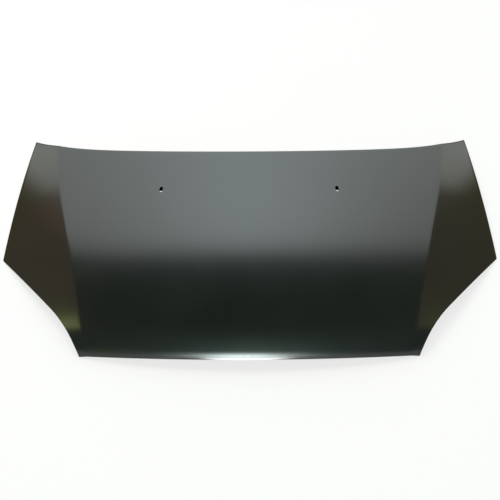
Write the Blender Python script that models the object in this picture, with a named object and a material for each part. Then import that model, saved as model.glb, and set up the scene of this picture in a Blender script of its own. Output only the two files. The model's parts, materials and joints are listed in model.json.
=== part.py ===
"""A steel bonnet (engine hood panel) for a small van.

The bonnet lies crown-up on its hemmed edges. +X is across the vehicle, -Y is the front
edge, +Z is up, and every length is in metres. The outer skin and the pressed inner frame
follow one styled face, described by surface(). The skin is hemmed round the frame's rim.
Reinforcements, weld nuts and the striker sit on flat pads pressed into the frame.
"""

import math

import bpy
import numpy as np
from mathutils import Vector, geometry

# Styled face: height above its datum, from the distance behind the front edge and from x.
FACE_SLOPE = 0.3055        # rise per metre behind the nose
FACE_SAG = 0.430           # lengthwise crown, per metre
NOSE_DROP = 0.036          # how far the nose curls down at the front edge
NOSE_LENGTH = 0.024        # how quickly that curl dies out
CROWN_DROP = 0.038         # cross crown at CROWN_X
CROWN_X = 0.560
FLANK_KINK = 0.21          # change of cross slope at the feature line
FLANK_FLARE = 0.60         # extra curvature outside the feature line, per metre

# Outline in plan, measured from the middle of the front edge.
LENGTH = 0.6652            # front edge to rear edge at the middle
BOW_X = 0.640              # half width at which both bows are stated
BOW_FRONT = 0.043
BOW_REAR = 0.044
REAR_SWEEP = 0.0412        # extra rearward sweep at the rear corner
REAR_SWEEP_POWER = 8
FRONT_CORNER_X = 0.4895
REAR_CORNER_X = 0.6653
SIDE_CORNER = (0.7347, 0.3384)
LAMP_BEND = (0.5379, 0.1185)   # where the headlamp cut changes direction
LAMP_BEND_REACH = 0.061        # length of the bend on each side of that point

# Feature line between the bonnet's centre and its flank, in plan.
CREASE_FRONT_X = 0.4620
CREASE_SLOPE_FRONT = 0.197
CREASE_BREAK_Y = 0.520
CREASE_SLOPE_REAR = 0.123

# Sheet metal and its hem.
SKIN_SHEET = 0.0007
FRAME_SHEET = 0.0006
FIT_GAP = 0.0003
HEM_RADIUS = (2 * SKIN_SHEET + FRAME_SHEET + 2 * FIT_GAP) / 2
HEM_RETURN = 0.009
HEM_FOLD_STEPS = 3
RIM_INSET = 0.0012
RIM_DEPTH = SKIN_SHEET + FIT_GAP
RIM_MIDDLE = 0.006
RIM_WIDTH = 0.0125
EDGE_WALL_END = 0.027
EDGE_WALL_DEPTH = 0.012
EDGE_FLOOR_START = 0.070
FLOOR_DEPTH = 0.025

# Windows of the inner frame.
LAND_DEPTH = 0.0035
LAND_WIDTH = 0.014
WINDOW_WALL_END = 0.030
WINDOW_ROUND = 0.026
WINDOWS_RIGHT = (
    ((0.040, 0.305), (0.160, 0.305), (0.178, 0.432), (0.040, 0.432)),
    ((0.240, 0.303), (0.350, 0.303), (0.382, 0.432), (0.260, 0.432)),
    ((0.432, 0.303), (0.562, 0.315), (0.592, 0.436), (0.464, 0.436)),
    ((0.130, 0.102), (0.252, 0.106), (0.245, 0.222), (0.112, 0.222)),
    ((0.335, 0.108), (0.440, 0.120), (0.482, 0.220), (0.330, 0.222)),
)
REAR_WINDOW = ((-0.068, 0.528), (0.068, 0.528), (0.068, 0.600), (-0.068, 0.600))

# Washer jets: a slot through the skin, and a round access hole in the frame under it.
JET_PLACE = (0.2615, 0.5210)
JET_WIDTH = 0.0095
JET_LENGTH = 0.0190
JET_LEAN = math.radians(8.0)
JET_ACCESS_PLACE = (0.2630, 0.5110)
JET_ACCESS_RADIUS = 0.024

# Flat pads of the frame: centre in plan, half sizes, depth under the face.
PAD_DEPTH = 0.022
PAD_SLOPE = 0.007
PAD_ROUND = 0.008
HINGE_PAD_PLACE = (0.520, 0.622)
HINGE_PAD_HALF = (0.031, 0.047)
HINGE_BOLT_SPACING = 0.052
HINGE_HOLE_RADIUS = 0.0055
HINGE_PLATE_HALF = (0.0245, 0.0405)
HINGE_PLATE_SHEET = 0.0020
STRIKER_PAD_PLACE = (0.0, 0.080)
STRIKER_PAD_HALF = (0.072, 0.033)
STRIKER_PLATE_HALF = (0.064, 0.0255)
STRIKER_PLATE_SHEET = 0.0015
STRIKER_BASE_HALF = (0.030, 0.0255)
STRIKER_BASE_SHEET = 0.0025

# Striker loop and weld nuts.
LOOP_ROD_RADIUS = 0.004
LOOP_HALF_WIDTH = 0.015
LOOP_DROP = 0.036
LOOP_BEND = 0.009
NUT_ACROSS_CORNERS = 0.0080
NUT_BORE_RADIUS = 0.0043
NUT_HEIGHT = 0.0065

# Anti-flutter mastic between the frame's lands and the skin.
MASTIC_RADIUS = 0.0055
MASTIC_TOP = 0.00125
MASTIC_BOTTOM = LAND_DEPTH - FIT_GAP

# Facet sizes.
FRONT_FACETS = 8
REAR_FACETS = 11
SIDE_FACETS = 10
LAMP_FACETS = 6
BEND_FACETS = 4
NOSE_ROWS = (0.021, 0.033, 0.050, 0.072)
ROW_STEP = 0.037
COLUMN_STEP = 0.050
FLOOR_STEP = 0.055
FLOOR_ROW_STEP = 0.044
FLOOR_COLUMNS = 13         # on each side of the middle
FIELD_OVERRUN = 0.050      # how far the rows of loose points run on past the rear edge
RIM_CLEARANCE = 0.012      # room round loose points: to the rim
HOLE_CLEARANCE = 0.012     # to a jet slot's ring of facets
NOSE_CREASE_CLEARANCE = 0.013
FIELD_CREASE_CLEARANCE = 0.014
FLOOR_CLEARANCE = 0.016    # to any loop of the frame
CHAIN_CLEARANCE = 0.004    # from the feature line's points to a loop
CREASE_BREAK_ROOM = 0.020  # from the last even point of the feature line to its break
JET_RING = 0.007           # width of the ring of facets round a jet slot
SLIVER_AREA = 1e-8         # triangles thinner than this come only from rounding

# Plain finishes: colour, roughness, metallic.
BLACK_ECOAT = ((0.012, 0.013, 0.013), 0.30, 0.0)
GREY_ECOAT = ((0.020, 0.021, 0.021), 0.38, 0.0)
ZINC = ((0.42, 0.41, 0.37), 0.42, 0.9)
MASTIC = ((0.035, 0.035, 0.038), 0.85, 0.0)


# The styled face

def crease_x(y):
    """Distance of the feature line from the middle, at plan depth y."""
    front = CREASE_FRONT_X + CREASE_SLOPE_FRONT * y
    rear_loss = (CREASE_SLOPE_FRONT - CREASE_SLOPE_REAR) * np.maximum(y - CREASE_BREAK_Y, 0)
    return front - rear_loss


def face_height(x, y):
    """Height of the styled face over plan points."""
    bow = (x / BOW_X) ** 2
    along = (y - BOW_FRONT * bow) / (1 + (BOW_REAR - BOW_FRONT) * bow / LENGTH)
    profile = FACE_SLOPE * along - FACE_SAG * along ** 2
    nose = NOSE_DROP * np.exp(-along / NOSE_LENGTH)
    outside = np.maximum(np.abs(x) - crease_x(y), 0)
    crown = CROWN_DROP * (x / CROWN_X) ** 2
    flank = FLANK_KINK * outside + FLANK_FLARE / 2 * outside ** 2
    return profile - nose - crown - flank


def surface(plan):
    """Points of the styled face over an array of plan points."""
    plan = np.asarray(plan, float)
    return np.column_stack((plan, face_height(plan[:, 0], plan[:, 1])))


def face_slopes(plan, step=1e-5):
    """Slopes dz/dx and dz/dy of the styled face."""
    x, y = np.asarray(plan, float).T
    dx = (face_height(x + step, y) - face_height(x - step, y)) / (2 * step)
    dy = (face_height(x, y + step) - face_height(x, y - step)) / (2 * step)
    return dx, dy


def face_normals(plan):
    """Unit normals of the styled face, pointing up."""
    dx, dy = face_slopes(plan)
    normals = np.column_stack((-dx, -dy, np.ones(len(dx))))
    return normals / np.linalg.norm(normals, axis=1)[:, None]


def under_face(plan, depth):
    """Points a given depth under the styled face, measured square to it."""
    return surface(plan) - face_normals(plan) * np.reshape(depth, (-1, 1))


# Outline and loops in plan

def line(start, end, count):
    """Points from start to just before end, in equal steps."""
    start, end = np.array(start, float), np.array(end, float)
    return [tuple(start + (end - start) * i / count) for i in range(count)]


def front_y(x):
    """Plan depth of the front edge."""
    return BOW_FRONT * (x / BOW_X) ** 2


def rear_y(x):
    """Plan depth of the rear edge."""
    sweep = REAR_SWEEP * (abs(x) / REAR_CORNER_X) ** REAR_SWEEP_POWER
    return LENGTH + BOW_REAR * (x / BOW_X) ** 2 + sweep


def crease_crossing(edge_y):
    """Point where the feature line meets the front or the rear edge."""
    x = CREASE_FRONT_X
    for _ in range(20):
        x = float(crease_x(edge_y(x)))
    return x, edge_y(x)


def edge_places(corner_x, facets, crossing_x):
    """Places across half an edge, with one of them moved onto the feature line."""
    places = np.linspace(0, corner_x, facets + 1)
    nearest = 1 + int(np.argmin(np.abs(places[1:-1] - crossing_x)))
    places[nearest] = crossing_x
    return places


def lamp_cut():
    """The headlamp cut from the front corner to the side corner, bent in the middle."""
    front = np.array((FRONT_CORNER_X, front_y(FRONT_CORNER_X)))
    side = np.array(SIDE_CORNER)
    bend = np.array(LAMP_BEND)
    before = bend + (front - bend) * LAMP_BEND_REACH / np.linalg.norm(front - bend)
    after = bend + (side - bend) * LAMP_BEND_REACH / np.linalg.norm(side - bend)
    points = line(front, before, 2)
    for i in range(BEND_FACETS):
        t = i / BEND_FACETS
        points.append(tuple((1 - t) ** 2 * before + 2 * t * (1 - t) * bend + t ** 2 * after))
    return points + line(after, side, LAMP_FACETS)


def outline():
    """The bonnet's edge in plan, anticlockwise from the middle of the front edge."""
    front_x = edge_places(FRONT_CORNER_X, FRONT_FACETS, crease_crossing(front_y)[0])
    rear_x = edge_places(REAR_CORNER_X, REAR_FACETS, crease_crossing(rear_y)[0])
    rear_corner = (REAR_CORNER_X, rear_y(REAR_CORNER_X))
    half = [(x, front_y(x)) for x in front_x[:-1]]
    half += lamp_cut()
    half += line(SIDE_CORNER, rear_corner, SIDE_FACETS)
    half += [(x, rear_y(x)) for x in rear_x[::-1]]
    mirrored = [(-x, y) for x, y in half[1:-1]]
    return np.array(half + mirrored[::-1])


def inward_mitres(loop, crease_ends=()):
    """Plan vectors that move each point of a loop inward by one unit from both its sides.

    A point on the feature line moves along that line instead, so that it stays on it.
    """
    to_next = np.roll(loop, -1, axis=0) - loop
    to_next /= np.linalg.norm(to_next, axis=1)[:, None]
    after = np.column_stack((-to_next[:, 1], to_next[:, 0]))
    before = np.roll(after, 1, axis=0)
    mitres = (before + after) / (1 + np.sum(before * after, axis=1))[:, None]
    for x, y, slope in crease_ends:
        for side in (1, -1):
            index = int(np.argmin(np.hypot(loop[:, 0] - side * x, loop[:, 1] - y)))
            way = np.array((side * slope, 1.0)) * np.sign(LENGTH / 2 - y)
            mitres[index] = way / np.dot(way, mitres[index]) * np.dot(mitres[index], mitres[index])
    return mitres


def rounded(corners, radius, steps=2, between=1):
    """A loop with round corners and some points along its sides."""
    corners = np.array(corners, float)
    count = len(corners)
    points = []
    for i in range(count):
        here, last, following = corners[i], corners[i - 1], corners[(i + 1) % count]
        to_last = (last - here) / np.linalg.norm(last - here)
        to_next = (following - here) / np.linalg.norm(following - here)
        half_angle = math.acos(float(np.dot(to_last, to_next))) / 2
        middle = (to_last + to_next) / np.linalg.norm(to_last + to_next)
        centre = here + middle * radius / math.sin(half_angle)
        turn = math.pi - 2 * half_angle
        start = here + to_last * radius / math.tan(half_angle) - centre
        first = math.atan2(start[1], start[0])
        for step in range(steps + 1):
            angle = first + turn * step / steps
            points.append(centre + radius * np.array((math.cos(angle), math.sin(angle))))
    if not between:
        return np.array(points)
    filled = []
    for i, point in enumerate(points):
        filled.append(point)
        if i % (steps + 1) == steps:
            ahead = points[(i + 1) % len(points)]
            for j in range(1, between + 1):
                filled.append(point + (ahead - point) * j / (between + 1))
    return np.array(filled)


def rectangle(half_x, half_y):
    """Corners of a rectangle, anticlockwise."""
    return [(-half_x, -half_y), (half_x, -half_y), (half_x, half_y), (-half_x, half_y)]


def circle(radius, count, place=(0.0, 0.0)):
    """A round loop."""
    angles = np.arange(count) * 2 * math.pi / count
    return np.column_stack((place[0] + radius * np.cos(angles), place[1] + radius * np.sin(angles)))


def slot(width, length, place, lean=0.0, steps=5):
    """A slot along Y with round ends; lean turns it clockwise, seen from above."""
    radius = width / 2
    angles = np.linspace(0, math.pi, steps + 1)
    cap = np.column_stack((radius * np.cos(angles), radius * np.sin(angles) + length / 2 - radius))
    loop = np.vstack((cap, -cap))
    turn = np.array(((math.cos(lean), math.sin(lean)), (-math.sin(lean), math.cos(lean))))
    return loop @ turn.T + np.array(place)


def mirror(loop):
    """The same loop on the other side of the bonnet, still anticlockwise."""
    return np.asarray(loop)[::-1] * (-1, 1)


def both_sides(loops):
    """Loops of the right-hand side followed by their mirror images."""
    return list(loops) + [mirror(loop) for loop in loops]


def grown(loop, distance):
    """A loop pushed outward by a distance."""
    return loop - inward_mitres(loop) * distance


def inside(points, loop):
    """Which plan points lie inside a loop."""
    x, y = np.asarray(points).T
    x1, y1 = loop.T
    x2, y2 = np.roll(loop, -1, axis=0).T
    spans = (y1[None] > y[:, None]) != (y2[None] > y[:, None])
    rise = np.where(y2 == y1, 1.0, y2 - y1)
    cross_x = x1 + (y[:, None] - y1) * (x2 - x1) / rise
    return np.sum(spans & (x[:, None] < cross_x), axis=1) % 2 == 1


def distance_to(points, loop):
    """Distance from plan points to the nearest side of a loop."""
    points = np.asarray(points)[:, None]
    start = loop[None]
    side = np.roll(loop, -1, axis=0)[None] - start
    share = np.sum((points - start) * side, axis=2) / np.sum(side * side, axis=2)
    nearest = start + side * np.clip(share, 0, 1)[..., None]
    return np.min(np.linalg.norm(points - nearest, axis=2), axis=1)


# Triangles in plan

def triangulate(loops, chains, points, edge, holes):
    """Triangles between loops, chains and loose points, inside edge and outside holes.

    Returns plan points, triangles, and for each input point its place in the result.
    """
    places, sides = [], []
    for closed, groups in ((True, loops), (False, chains)):
        for group in groups:
            first = len(places)
            places.extend(map(tuple, group))
            sides.extend((first + i, first + i + 1) for i in range(len(group) - 1))
            if closed:
                sides.append((first + len(group) - 1, first))
    places.extend(map(tuple, points))
    result = geometry.delaunay_2d_cdt([Vector(p) for p in places], sides, [], 0, 1e-6, True)
    plan = np.array([tuple(p) for p in result[0]])
    triangles = np.array([tuple(face) for face in result[2]])
    a, b, c = (plan[triangles[:, i]] for i in range(3))
    area = (b[:, 0] - a[:, 0]) * (c[:, 1] - a[:, 1]) - (b[:, 1] - a[:, 1]) * (c[:, 0] - a[:, 0])
    triangles[area < 0] = triangles[area < 0][:, ::-1]
    centres = (a + b + c) / 3
    keep = inside(centres, edge) & (np.abs(area) > SLIVER_AREA)
    for hole in holes:
        keep &= ~inside(centres, hole)
    triangles = triangles[keep]
    used, compact = np.unique(triangles, return_inverse=True)
    new_place = {old: new for new, old in enumerate(used)}
    origin = {source: new_place[i] for i, sources in enumerate(result[3]) if i in new_place
              for source in sources}
    return plan[used], compact.reshape(-1, 3), origin


def open_sides(triangles):
    """Directed sides that only one triangle has."""
    sides = {(int(t[i]), int(t[(i + 1) % 3])) for t in triangles for i in range(3)}
    return sorted(side for side in sides if (side[1], side[0]) not in sides)


# Bodies

def finish(name, look):
    """A material with one colour, roughness and metallic value."""
    colour, roughness, metallic = look
    material = bpy.data.materials.new(name)
    material.use_nodes = True
    shader = material.node_tree.nodes["Principled BSDF"]
    shader.inputs["Base Color"].default_value = (*colour, 1.0)
    shader.inputs["Roughness"].default_value = roughness
    shader.inputs["Metallic"].default_value = metallic
    material.diffuse_color = (*colour, 1.0)
    return material


def make_body(name, points, faces, look, smooth=35.0):
    """A mesh object at the part's origin."""
    mesh = bpy.data.meshes.new(name)
    points = np.asarray(points) - PART_ORIGIN
    mesh.from_pydata(points.tolist(), [], [tuple(int(i) for i in face) for face in faces])
    mesh.validate()
    body = bpy.data.objects.new(name, mesh)
    bpy.context.scene.collection.objects.link(body)
    mesh.materials.append(finish(name + "_finish", look))
    mesh.shade_smooth()
    mesh.set_sharp_from_angle(angle=math.radians(smooth))
    return body


def prism(triangles, top, bottom):
    """Points and faces of a closed body between two copies of a triangulated sheet."""
    count = len(top)
    faces = [tuple(t) for t in triangles]
    faces += [tuple(t[::-1] + count) for t in triangles]
    faces += [(b, a, a + count, b + count) for a, b in open_sides(triangles)]
    return np.vstack((top, bottom)), faces


# Outer skin

def hem_profile():
    """Outer and inner lines of the hem: distance outward and depth, from the edge on."""
    angles = [math.pi * i / HEM_FOLD_STEPS for i in range(1, HEM_FOLD_STEPS + 1)]
    inner_radius = HEM_RADIUS - SKIN_SHEET
    outer = [(HEM_RADIUS * math.sin(a), HEM_RADIUS * (1 - math.cos(a))) for a in angles]
    inner = [(inner_radius * math.sin(a), HEM_RADIUS - inner_radius * math.cos(a)) for a in angles]
    outer.append((-HEM_RETURN, 2 * HEM_RADIUS))
    inner.append((-HEM_RETURN, 2 * HEM_RADIUS - SKIN_SHEET))
    return outer, inner


def hem_rows(edge, mitres, profile):
    """One row of points round the whole edge for each point of the hem's profile."""
    dx, dy = face_slopes(edge)
    length = np.linalg.norm(mitres, axis=1)
    slope = (dx * mitres[:, 0] + dy * mitres[:, 1]) / length
    scale = 1 / np.sqrt(1 + slope ** 2)
    rows = []
    for outward, depth in profile:
        rows.append(under_face(edge - mitres * (outward * scale)[:, None], depth))
    return rows


def hem_faces(rows, ends, outer):
    """Faces between rows of point numbers, from the sheet's edge to the hem's end."""
    faces = []
    count = len(ends)
    for near, far in zip([ends] + rows[:-1], rows):
        for i in range(count):
            j = (i + 1) % count
            quad = (near[j], near[i], far[i], far[j])
            faces.append(quad if outer else quad[::-1])
    return faces


def jet_holes():
    """Washer jet slots, leaning toward the middle at the rear."""
    right = slot(JET_WIDTH, JET_LENGTH, JET_PLACE, -JET_LEAN)
    return both_sides([right])


def crease_chain():
    """The right-hand feature line, from the front edge to the rear edge."""
    start, end = crease_crossing(front_y), crease_crossing(rear_y)
    depths = [start[1] + row for row in NOSE_ROWS]
    depths += list(np.arange(start[1] + NOSE_ROWS[-1] + ROW_STEP, CREASE_BREAK_Y - CREASE_BREAK_ROOM, ROW_STEP))
    depths += list(np.linspace(CREASE_BREAK_Y, end[1], 7)[:-1])
    chain = [start] + [(float(crease_x(y)), y) for y in depths] + [end]
    return np.array(chain)


def clear_chain(chain, start, end, loops, clearance=CHAIN_CLEARANCE):
    """A feature line from start to end, without the points that crowd a loop."""
    keep = np.ones(len(chain), bool)
    for loop in loops:
        keep &= distance_to(chain, loop) > clearance
    return np.vstack((start, chain[keep], end))


def nearest(points, place):
    """The one of some points that is nearest to a place."""
    return points[np.argmin(np.linalg.norm(points - place, axis=1))]


def crease_ends():
    """The feature line's two ends and its slope at each."""
    start, end = crease_crossing(front_y), crease_crossing(rear_y)
    return ((*start, CREASE_SLOPE_FRONT), (*end, CREASE_SLOPE_REAR))


def nose_points(edge):
    """Rows of points that follow the curl of the nose."""
    columns = np.linspace(-FRONT_CORNER_X, FRONT_CORNER_X, 2 * FRONT_FACETS + 1)
    points = [(x, front_y(x) + row) for row in NOSE_ROWS for x in columns]
    points = np.array(points)
    clear = np.abs(np.abs(points[:, 0]) - crease_x(points[:, 1])) > NOSE_CREASE_CLEARANCE
    return points[clear]


def field_points(edge):
    """Points over the rest of the face, in bowed rows."""
    half_columns = np.arange(0, SIDE_CORNER[0], COLUMN_STEP)
    columns = np.concatenate((-half_columns[:0:-1], half_columns))
    rows = np.arange(NOSE_ROWS[-1] + ROW_STEP, LENGTH + FIELD_OVERRUN, ROW_STEP)
    points = np.array([(x, row + front_y(x)) for row in rows for x in columns])
    keep = inside(points, edge) & (distance_to(points, edge) > RIM_WIDTH + RIM_CLEARANCE)
    keep &= np.abs(np.abs(points[:, 0]) - crease_x(points[:, 1])) > FIELD_CREASE_CLEARANCE
    return points[keep]


def build_outer_skin(edge):
    """The outer sheet with its feature lines, jet holes and hem, as one closed body."""
    mitres = inward_mitres(edge, crease_ends())
    rim = [edge + mitres * inset for inset in (RIM_MIDDLE, RIM_WIDTH)]
    holes = jet_holes()
    rings = [grown(hole, JET_RING) for hole in holes]
    chain = crease_chain()
    chain = clear_chain(chain[1:-1], chain[0], chain[-1], [edge] + rim)
    points = np.vstack((nose_points(edge), field_points(edge)))
    near_hole = np.zeros(len(points), bool)
    for ring in rings:
        near_hole |= inside(points, ring) | (distance_to(points, ring) < HOLE_CLEARANCE)
    loops = [edge] + rim + holes + rings
    plan, triangles, origin = triangulate(loops, both_sides([chain]), points[~near_hole], edge, holes)
    top, bottom = surface(plan), under_face(plan, SKIN_SHEET)
    ends = [origin[i] for i in range(len(edge))]
    on_edge = set(ends)
    count = len(plan)
    faces = [tuple(t) for t in triangles] + [tuple(t[::-1] + count) for t in triangles]
    for a, b in open_sides(triangles):
        if a not in on_edge:
            faces.append((b, a, a + count, b + count))
    outer, inner = hem_profile()
    outer_rows = hem_rows(edge, mitres, outer)
    inner_rows = hem_rows(edge, mitres, inner)
    numbers = np.arange(len(outer_rows) * 2 * len(edge)).reshape(-1, len(edge)) + 2 * count
    outer_numbers = [list(row) for row in numbers[:len(outer_rows)]]
    inner_numbers = [list(row) for row in numbers[len(outer_rows):]]
    faces += hem_faces(outer_numbers, ends, True)
    faces += hem_faces(inner_numbers, [i + count for i in ends], False)
    faces += hem_faces([inner_numbers[-1]], outer_numbers[-1], True)
    return make_body("outer_skin", np.vstack([top, bottom] + outer_rows + inner_rows), faces, BLACK_ECOAT)


# Flat pads

class Pad:
    """A flat pad under the styled face, with its own two directions across it."""

    def __init__(self, place, half, depth):
        self.half = half
        self.normal = face_normals([place])[0]
        self.origin = surface([place])[0] - self.normal * depth
        across = np.cross((0.0, 1.0, 0.0), self.normal)
        self.across = across / np.linalg.norm(across)
        self.along = np.cross(self.normal, self.across)

    def point(self, local, lift=0.0):
        """World points of local points, lifted along the pad's normal."""
        local = np.asarray(local, float)
        flat = self.origin + local[:, :1] * self.across + local[:, 1:2] * self.along
        return flat + self.normal * lift

    def plan(self, local):
        """Plan points of the styled face straight over local points."""
        points = self.point(local)
        reach = np.full(len(points), PAD_DEPTH)
        for _ in range(6):
            over = points + self.normal * reach[:, None]
            reach += (face_height(over[:, 0], over[:, 1]) - over[:, 2]) / self.normal[2]
        return (points + self.normal * reach[:, None])[:, :2]

    def flatten(self, plan):
        """Points of the pad straight under plan points of the styled face."""
        above = surface(plan)
        height = (above - self.origin) @ self.normal
        return above - self.normal * height[:, None]


def hinge_pad(side):
    """The pad that one hinge bolts to; side is 1 on the right and -1 on the left."""
    return Pad((side * HINGE_PAD_PLACE[0], HINGE_PAD_PLACE[1]), HINGE_PAD_HALF, PAD_DEPTH)


def striker_pad():
    """The pad that carries the striker."""
    return Pad(STRIKER_PAD_PLACE, STRIKER_PAD_HALF, PAD_DEPTH)


def bolt_holes(radius, count=14):
    """The two bolt holes of a hinge pad, in the pad's own plane."""
    return [circle(radius, count, (0.0, way * HINGE_BOLT_SPACING / 2)) for way in (-1, 1)]


# Inner frame

def windows():
    """All windows of the inner frame, with round corners."""
    right = [rounded(corners, WINDOW_ROUND) for corners in WINDOWS_RIGHT]
    return both_sides(right) + [rounded(REAR_WINDOW, WINDOW_ROUND)]


def frame_depth(plan, edge, openings):
    """Depth of the frame's upper face under the styled face."""
    from_edge = distance_to(plan, edge)
    depth = np.interp(from_edge, (RIM_WIDTH, EDGE_WALL_END, EDGE_FLOOR_START),
                      (RIM_DEPTH, EDGE_WALL_DEPTH, FLOOR_DEPTH))
    for opening in openings:
        from_window = distance_to(plan, opening)
        wall = np.interp(from_window, (LAND_WIDTH, WINDOW_WALL_END), (LAND_DEPTH, FLOOR_DEPTH))
        depth = np.minimum(depth, np.where(inside(plan, opening), LAND_DEPTH, wall))
    return depth


def floor_points(edge, loops):
    """Loose points over the frame's floor, away from every loop."""
    columns = np.arange(-FLOOR_COLUMNS, FLOOR_COLUMNS + 1) * FLOOR_STEP
    rows = np.arange(NOSE_ROWS[-1], LENGTH + FIELD_OVERRUN, FLOOR_ROW_STEP)
    points = np.array([(x, row + front_y(x)) for row in rows for x in columns])
    keep = inside(points, edge)
    for loop in loops:
        keep &= distance_to(points, loop) > FLOOR_CLEARANCE
    return points[keep]


def build_inner_frame(edge):
    """The pressed inner frame, one sheet thickened downward."""
    mitres = inward_mitres(edge, crease_ends())
    rim = [edge + mitres * inset for inset in (RIM_INSET, RIM_MIDDLE, RIM_WIDTH, EDGE_WALL_END)]
    openings = windows()
    window_rings = [grown(window, reach) for window in openings for reach in (LAND_WIDTH, WINDOW_WALL_END)]
    pads = [hinge_pad(1), hinge_pad(-1), striker_pad()]
    pad_edges = [pad.plan(rounded(rectangle(*pad.half), PAD_ROUND)) for pad in pads]
    pad_slopes = [grown(loop, PAD_SLOPE) for loop in pad_edges]
    bolts = [pad.plan(hole) for pad in pads[:2] for hole in bolt_holes(HINGE_HOLE_RADIUS)]
    access = both_sides([circle(JET_ACCESS_RADIUS, 24, JET_ACCESS_PLACE)])
    holes = openings + bolts + access
    loops = rim + openings + window_rings + pad_edges + pad_slopes + bolts + access
    chain = crease_chain()
    start, end = nearest(rim[0], chain[0]), nearest(rim[0], chain[-1])
    chain = clear_chain(chain[1:-1], start, end, rim + openings + window_rings)
    loose = floor_points(edge, loops)
    plan, triangles, _ = triangulate(loops, both_sides([chain]), loose, rim[0], holes)
    points = under_face(plan, frame_depth(plan, edge, openings))
    for pad, loop in zip(pads, pad_edges):
        on_pad = inside(plan, grown(loop, 1e-5))
        points[on_pad] = pad.flatten(plan[on_pad])
    body = make_body("inner_frame", points, triangles, GREY_ECOAT)
    thicken = body.modifiers.new("sheet", "SOLIDIFY")
    thicken.thickness = FRAME_SHEET
    thicken.offset = -1.0
    thicken.use_even_offset = True
    return body


# Plates, nuts, striker and mastic

def build_plate(name, pad, half, sheet, lift, look, holes=()):
    """A flat plate with round corners, lying parallel to a pad."""
    edge = rounded(rectangle(*half), PAD_ROUND * 0.75, 3, 0)
    plan, triangles, _ = triangulate([edge] + list(holes), [], [], edge, list(holes))
    points, faces = prism(triangles, pad.point(plan, lift + sheet), pad.point(plan, lift))
    return make_body(name, points, faces, look)


def build_nut(name, pad, place, lift):
    """A hexagonal weld nut standing on a reinforcement."""
    edge = circle(NUT_ACROSS_CORNERS, 6, place)
    bore = circle(NUT_BORE_RADIUS, 14, place)
    plan, triangles, _ = triangulate([edge, bore], [], [], edge, [bore])
    points, faces = prism(triangles, pad.point(plan, lift + NUT_HEIGHT), pad.point(plan, lift))
    return make_body(name, points, faces, ZINC)


def build_hinge_mount(side):
    """The reinforcement and the two weld nuts of one hinge."""
    word = "right" if side > 0 else "left"
    pad = hinge_pad(side)
    build_plate("hinge_reinforcement_" + word, pad, HINGE_PLATE_HALF, HINGE_PLATE_SHEET, FIT_GAP,
                GREY_ECOAT, bolt_holes(HINGE_HOLE_RADIUS))
    lift = 2 * FIT_GAP + HINGE_PLATE_SHEET
    for way, end in ((-1, "front"), (1, "rear")):
        place = (0.0, way * HINGE_BOLT_SPACING / 2)
        build_nut("hinge_nut_" + word + "_" + end, pad, place, lift)


def loop_path():
    """The striker's rod in the pad's plane direction v and its depth w."""
    reach = LOOP_HALF_WIDTH - LOOP_BEND
    path = [(-LOOP_HALF_WIDTH, 0.0)]
    for sign in (-1, 1):
        for i in range(5):
            angle = math.pi / 2 * i / 4
            if sign < 0:
                offset = (-math.cos(angle), -math.sin(angle))
            else:
                offset = (math.sin(angle), -math.cos(angle))
            path.append((sign * reach + LOOP_BEND * offset[0], -LOOP_DROP + LOOP_BEND * (1 + offset[1])))
    return path + [(LOOP_HALF_WIDTH, 0.0)]


def build_striker_loop(pad, lift):
    """A bent round rod that hangs from the base plate in the fore-and-aft plane."""
    path = loop_path()
    sides = 12
    points = []
    for i, (v, w) in enumerate(path):
        before, after = path[max(i - 1, 0)], path[min(i + 1, len(path) - 1)]
        way = np.array((after[0] - before[0], after[1] - before[1]))
        way = way / np.linalg.norm(way)
        if i in (0, len(path) - 1):
            way = np.array((0.0, -1.0 if i == 0 else 1.0))
        for k in range(sides):
            angle = 2 * math.pi * k / sides
            u = LOOP_ROD_RADIUS * math.cos(angle)
            spread = LOOP_ROD_RADIUS * math.sin(angle)
            local = [(u, v + spread * way[1])]
            points.append(pad.point(local, lift + w - spread * way[0])[0])
    faces = []
    for i in range(len(path) - 1):
        for k in range(sides):
            j = (k + 1) % sides
            faces.append((i * sides + k, i * sides + j, (i + 1) * sides + j, (i + 1) * sides + k))
    faces.append(tuple(range(sides))[::-1])
    faces.append(tuple(range(len(points) - sides, len(points))))
    return make_body("striker_loop", points, faces, ZINC)


def build_striker():
    """Reinforcement above the frame, base plate below it, and the loop."""
    pad = striker_pad()
    build_plate("striker_reinforcement", pad, STRIKER_PLATE_HALF, STRIKER_PLATE_SHEET, FIT_GAP, GREY_ECOAT)
    base_lift = -FRAME_SHEET - FIT_GAP - STRIKER_BASE_SHEET
    build_plate("striker_base_plate", pad, STRIKER_BASE_HALF, STRIKER_BASE_SHEET, base_lift, ZINC)
    build_striker_loop(pad, base_lift - FIT_GAP)


def mastic_places():
    """Plan places of the mastic dots, on the lands of the right-hand windows."""
    places = []
    for index, corners in enumerate(WINDOWS_RIGHT):
        sides = (0, 2) if index < 3 else (0,)
        for side in sides:
            a, b = np.array(corners[side]), np.array(corners[(side + 1) % 4])
            way = (b - a) / np.linalg.norm(b - a)
            outward = np.array((way[1], -way[0]))
            places.append((a + b) / 2 + outward * LAND_WIDTH / 2)
    return places


def build_mastic():
    """Dots of soft mastic between the frame's lands and the skin."""
    number = 0
    for place in mastic_places():
        for side in (1, -1):
            number += 1
            pad = Pad((side * place[0], place[1]), None, MASTIC_BOTTOM)
            dot = circle(MASTIC_RADIUS, 12)
            plan, triangles, _ = triangulate([dot], [], [], dot, [])
            height = MASTIC_BOTTOM - MASTIC_TOP
            points, faces = prism(triangles, pad.point(plan, height), pad.point(plan))
            make_body("mastic_dot_%02d" % number, points, faces, MASTIC)


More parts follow.
